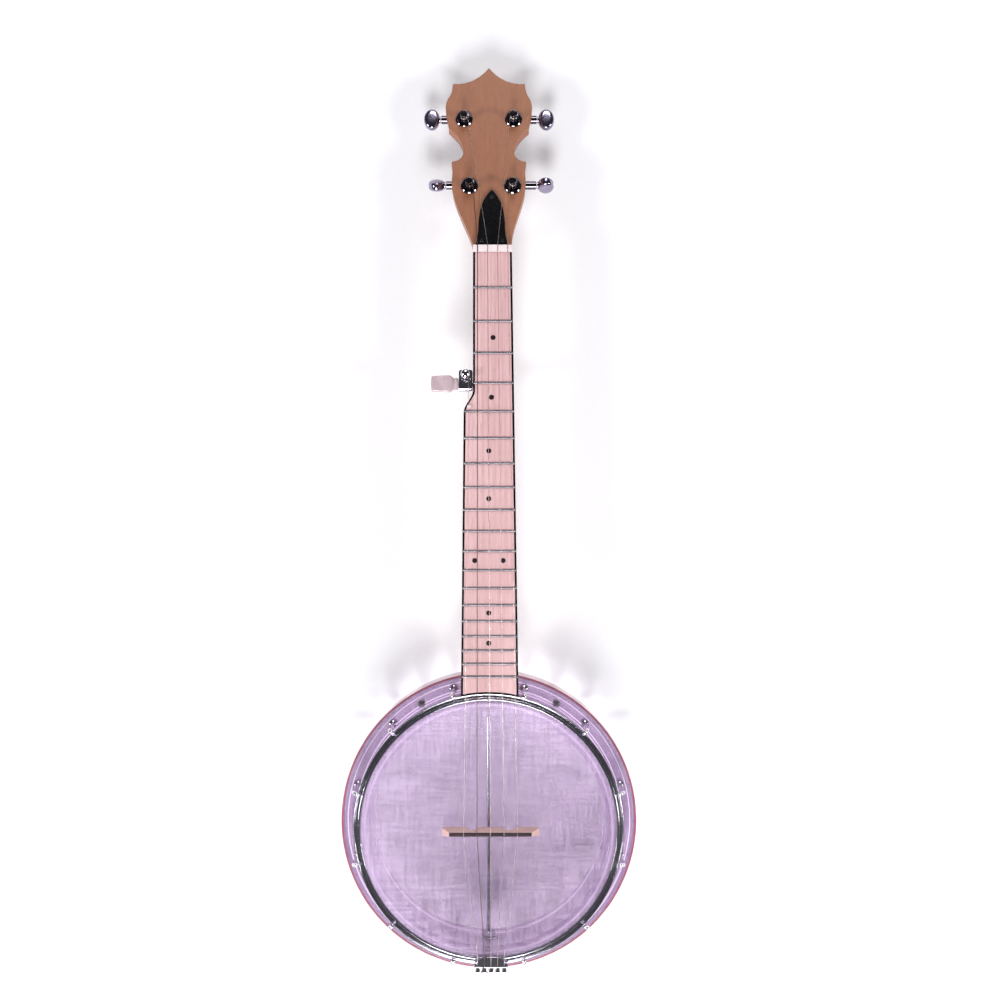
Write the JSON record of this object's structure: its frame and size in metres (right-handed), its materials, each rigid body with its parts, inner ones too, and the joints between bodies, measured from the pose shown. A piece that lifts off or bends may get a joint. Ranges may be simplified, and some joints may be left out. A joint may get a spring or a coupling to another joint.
{
  "type": "short-scale five-string banjo",
  "caption": "Small lap banjo with a see-through pot and resonator, clear drum head, maple neck and geared tuners; it lies on its back.",
  "frame": {"origin": "on the pot's axis, on the resonator's flat back", "axes": "+Z out of the drum head, +Y along the neck to the headstock, +X to the right seen from the front"},
  "size_m": [0.238, 0.7284, 0.0769],
  "materials": {
    "clear_plastic": "see-through lilac tinted plastic, moulded and polished",
    "head_film": "thin clear film",
    "head_collar": "rolled band, satin",
    "chrome": "bright plated",
    "dark_chrome": "dark bright plating on die castings",
    "screw_steel": "plain steel",
    "neck_maple": "stained maple, satin lacquer",
    "board_maple": "pinkish maple, satin; the frets are one body with it",
    "bridge_maple": "bare maple",
    "ebony": "black hardwood",
    "black_plastic": "black, glossy",
    "white_bone": "white, satin",
    "pearl_plastic": "pearly plastic",
    "string_wire": "drawn steel wire; the fourth is wound"
  },
  "bodies": {
    "banjo": {"truss_rod_cover": "black_plastic", "tuner_housing_upper_left": "dark_chrome", "tuner_bushing_upper_left": "dark_chrome", "tuner_housing_upper_right": "dark_chrome", "tuner_bushing_upper_right": "dark_chrome", "tuner_housing_lower_left": "dark_chrome", "tuner_bushing_lower_left": "dark_chrome", "tuner_housing_lower_right": "dark_chrome", "tuner_bushing_lower_right": "dark_chrome", "neck": "neck_maple", "fingerboard": "board_maple", "fingerboard_binding": "black_plastic", "nut": "white_bone", "truss_rod": "screw_steel", "fifth_string_pip": "white_bone", "fifth_peg_housing": "chrome", "resonator": "clear_plastic", "rim_and_flange": "clear_plastic", "drum_head": "head_film", "head_collar": "head_collar", "tension_hoop": "chrome", "hook_and_nut_01": "chrome", "hook_and_nut_02": "chrome", "hook_and_nut_03": "chrome", "hook_and_nut_04": "chrome", "hook_and_nut_05": "chrome", "hook_and_nut_06": "chrome", "hook_and_nut_07": "chrome", "hook_and_nut_08": "chrome", "hook_and_nut_09": "chrome", "hook_and_nut_10": "chrome", "hook_and_nut_11": "chrome", "hook_and_nut_12": "chrome", "resonator_screw_1": "screw_steel", "resonator_screw_2": "screw_steel", "resonator_screw_3": "screw_steel", "resonator_screw_4": "screw_steel", "coordinator_rod": "chrome", "neck_bolt": "screw_steel", "rod_inner_nut": "chrome", "rod_outer_nut": "chrome", "tailpiece_hanger": "chrome", "tailpiece": "chrome", "bridge": "bridge_maple", "bridge_cap": "ebony", "string_1": "string_wire", "string_2": "string_wire", "string_3": "string_wire", "string_4": "string_wire", "string_5": "string_wire"},
    "tuner_button_upper_left": {"tuner_button_upper_left": "dark_chrome"},
    "tuner_post_upper_left": {"tuner_post_upper_left": "dark_chrome"},
    "tuner_button_upper_right": {"tuner_button_upper_right": "dark_chrome"},
    "tuner_post_upper_right": {"tuner_post_upper_right": "dark_chrome"},
    "tuner_button_lower_left": {"tuner_button_lower_left": "dark_chrome"},
    "tuner_post_lower_left": {"tuner_post_lower_left": "dark_chrome"},
    "tuner_button_lower_right": {"tuner_button_lower_right": "dark_chrome"},
    "tuner_post_lower_right": {"tuner_post_lower_right": "dark_chrome"},
    "fifth_peg_button": {"fifth_peg_button": "pearl_plastic"},
    "fifth_peg_post": {"fifth_peg_post": "chrome"}
  },
  "joints": [
    {"name": "tuner_button_upper_left_turn", "type": "hinge", "parent": "banjo", "child": "tuner_button_upper_left", "pos_m": [-0.0198, 0.56827, 0.01784], "axis": [1, 0, 0], "continuous": true},
    {"name": "tuner_post_upper_left_turn", "type": "hinge", "parent": "banjo", "child": "tuner_post_upper_left", "pos_m": [-0.0198, 0.56346, 0.03762], "axis": [0, 0.1908, 0.9816], "continuous": true},
    {"name": "tuner_button_upper_right_turn", "type": "hinge", "parent": "banjo", "child": "tuner_button_upper_right", "pos_m": [0.0198, 0.56827, 0.01784], "axis": [1, 0, 0], "continuous": true},
    {"name": "tuner_post_upper_right_turn", "type": "hinge", "parent": "banjo", "child": "tuner_post_upper_right", "pos_m": [0.0198, 0.56346, 0.03762], "axis": [0, 0.1908, 0.9816], "continuous": true},
    {"name": "tuner_button_lower_left_turn", "type": "hinge", "parent": "banjo", "child": "tuner_button_lower_left", "pos_m": [-0.0154, 0.51233, 0.02871], "axis": [1, 0, 0], "continuous": true},
    {"name": "tuner_post_lower_left_turn", "type": "hinge", "parent": "banjo", "child": "tuner_post_lower_left", "pos_m": [-0.0154, 0.50751, 0.04849], "axis": [0, 0.1908, 0.9816], "continuous": true},
    {"name": "tuner_button_lower_right_turn", "type": "hinge", "parent": "banjo", "child": "tuner_button_lower_right", "pos_m": [0.019, 0.51233, 0.02871], "axis": [1, 0, 0], "continuous": true},
    {"name": "tuner_post_lower_right_turn", "type": "hinge", "parent": "banjo", "child": "tuner_post_lower_right", "pos_m": [0.019, 0.50751, 0.04849], "axis": [0, 0.1908, 0.9816], "continuous": true},
    {"name": "fifth_peg_button_turn", "type": "hinge", "parent": "banjo", "child": "fifth_peg_button", "pos_m": [-0.0181, 0.35001, 0.05176], "axis": [1, 0, 0], "continuous": true},
    {"name": "fifth_peg_post_turn", "type": "hinge", "parent": "banjo", "child": "fifth_peg_post", "pos_m": [-0.0181, 0.35643, 0.06465], "axis": [0, 0.0175, 0.9998], "continuous": true}
  ],
  "couplings": [
    {"joint": "tuner_post_upper_left_turn", "follows": "tuner_button_upper_left_turn", "ratio": 0.066667},
    {"joint": "tuner_post_upper_right_turn", "follows": "tuner_button_upper_right_turn", "ratio": 0.066667},
    {"joint": "tuner_post_lower_left_turn", "follows": "tuner_button_lower_left_turn", "ratio": 0.066667},
    {"joint": "tuner_post_lower_right_turn", "follows": "tuner_button_lower_right_turn", "ratio": 0.066667},
    {"joint": "fifth_peg_post_turn", "follows": "fifth_peg_button_turn", "ratio": -0.083333}
  ]
}
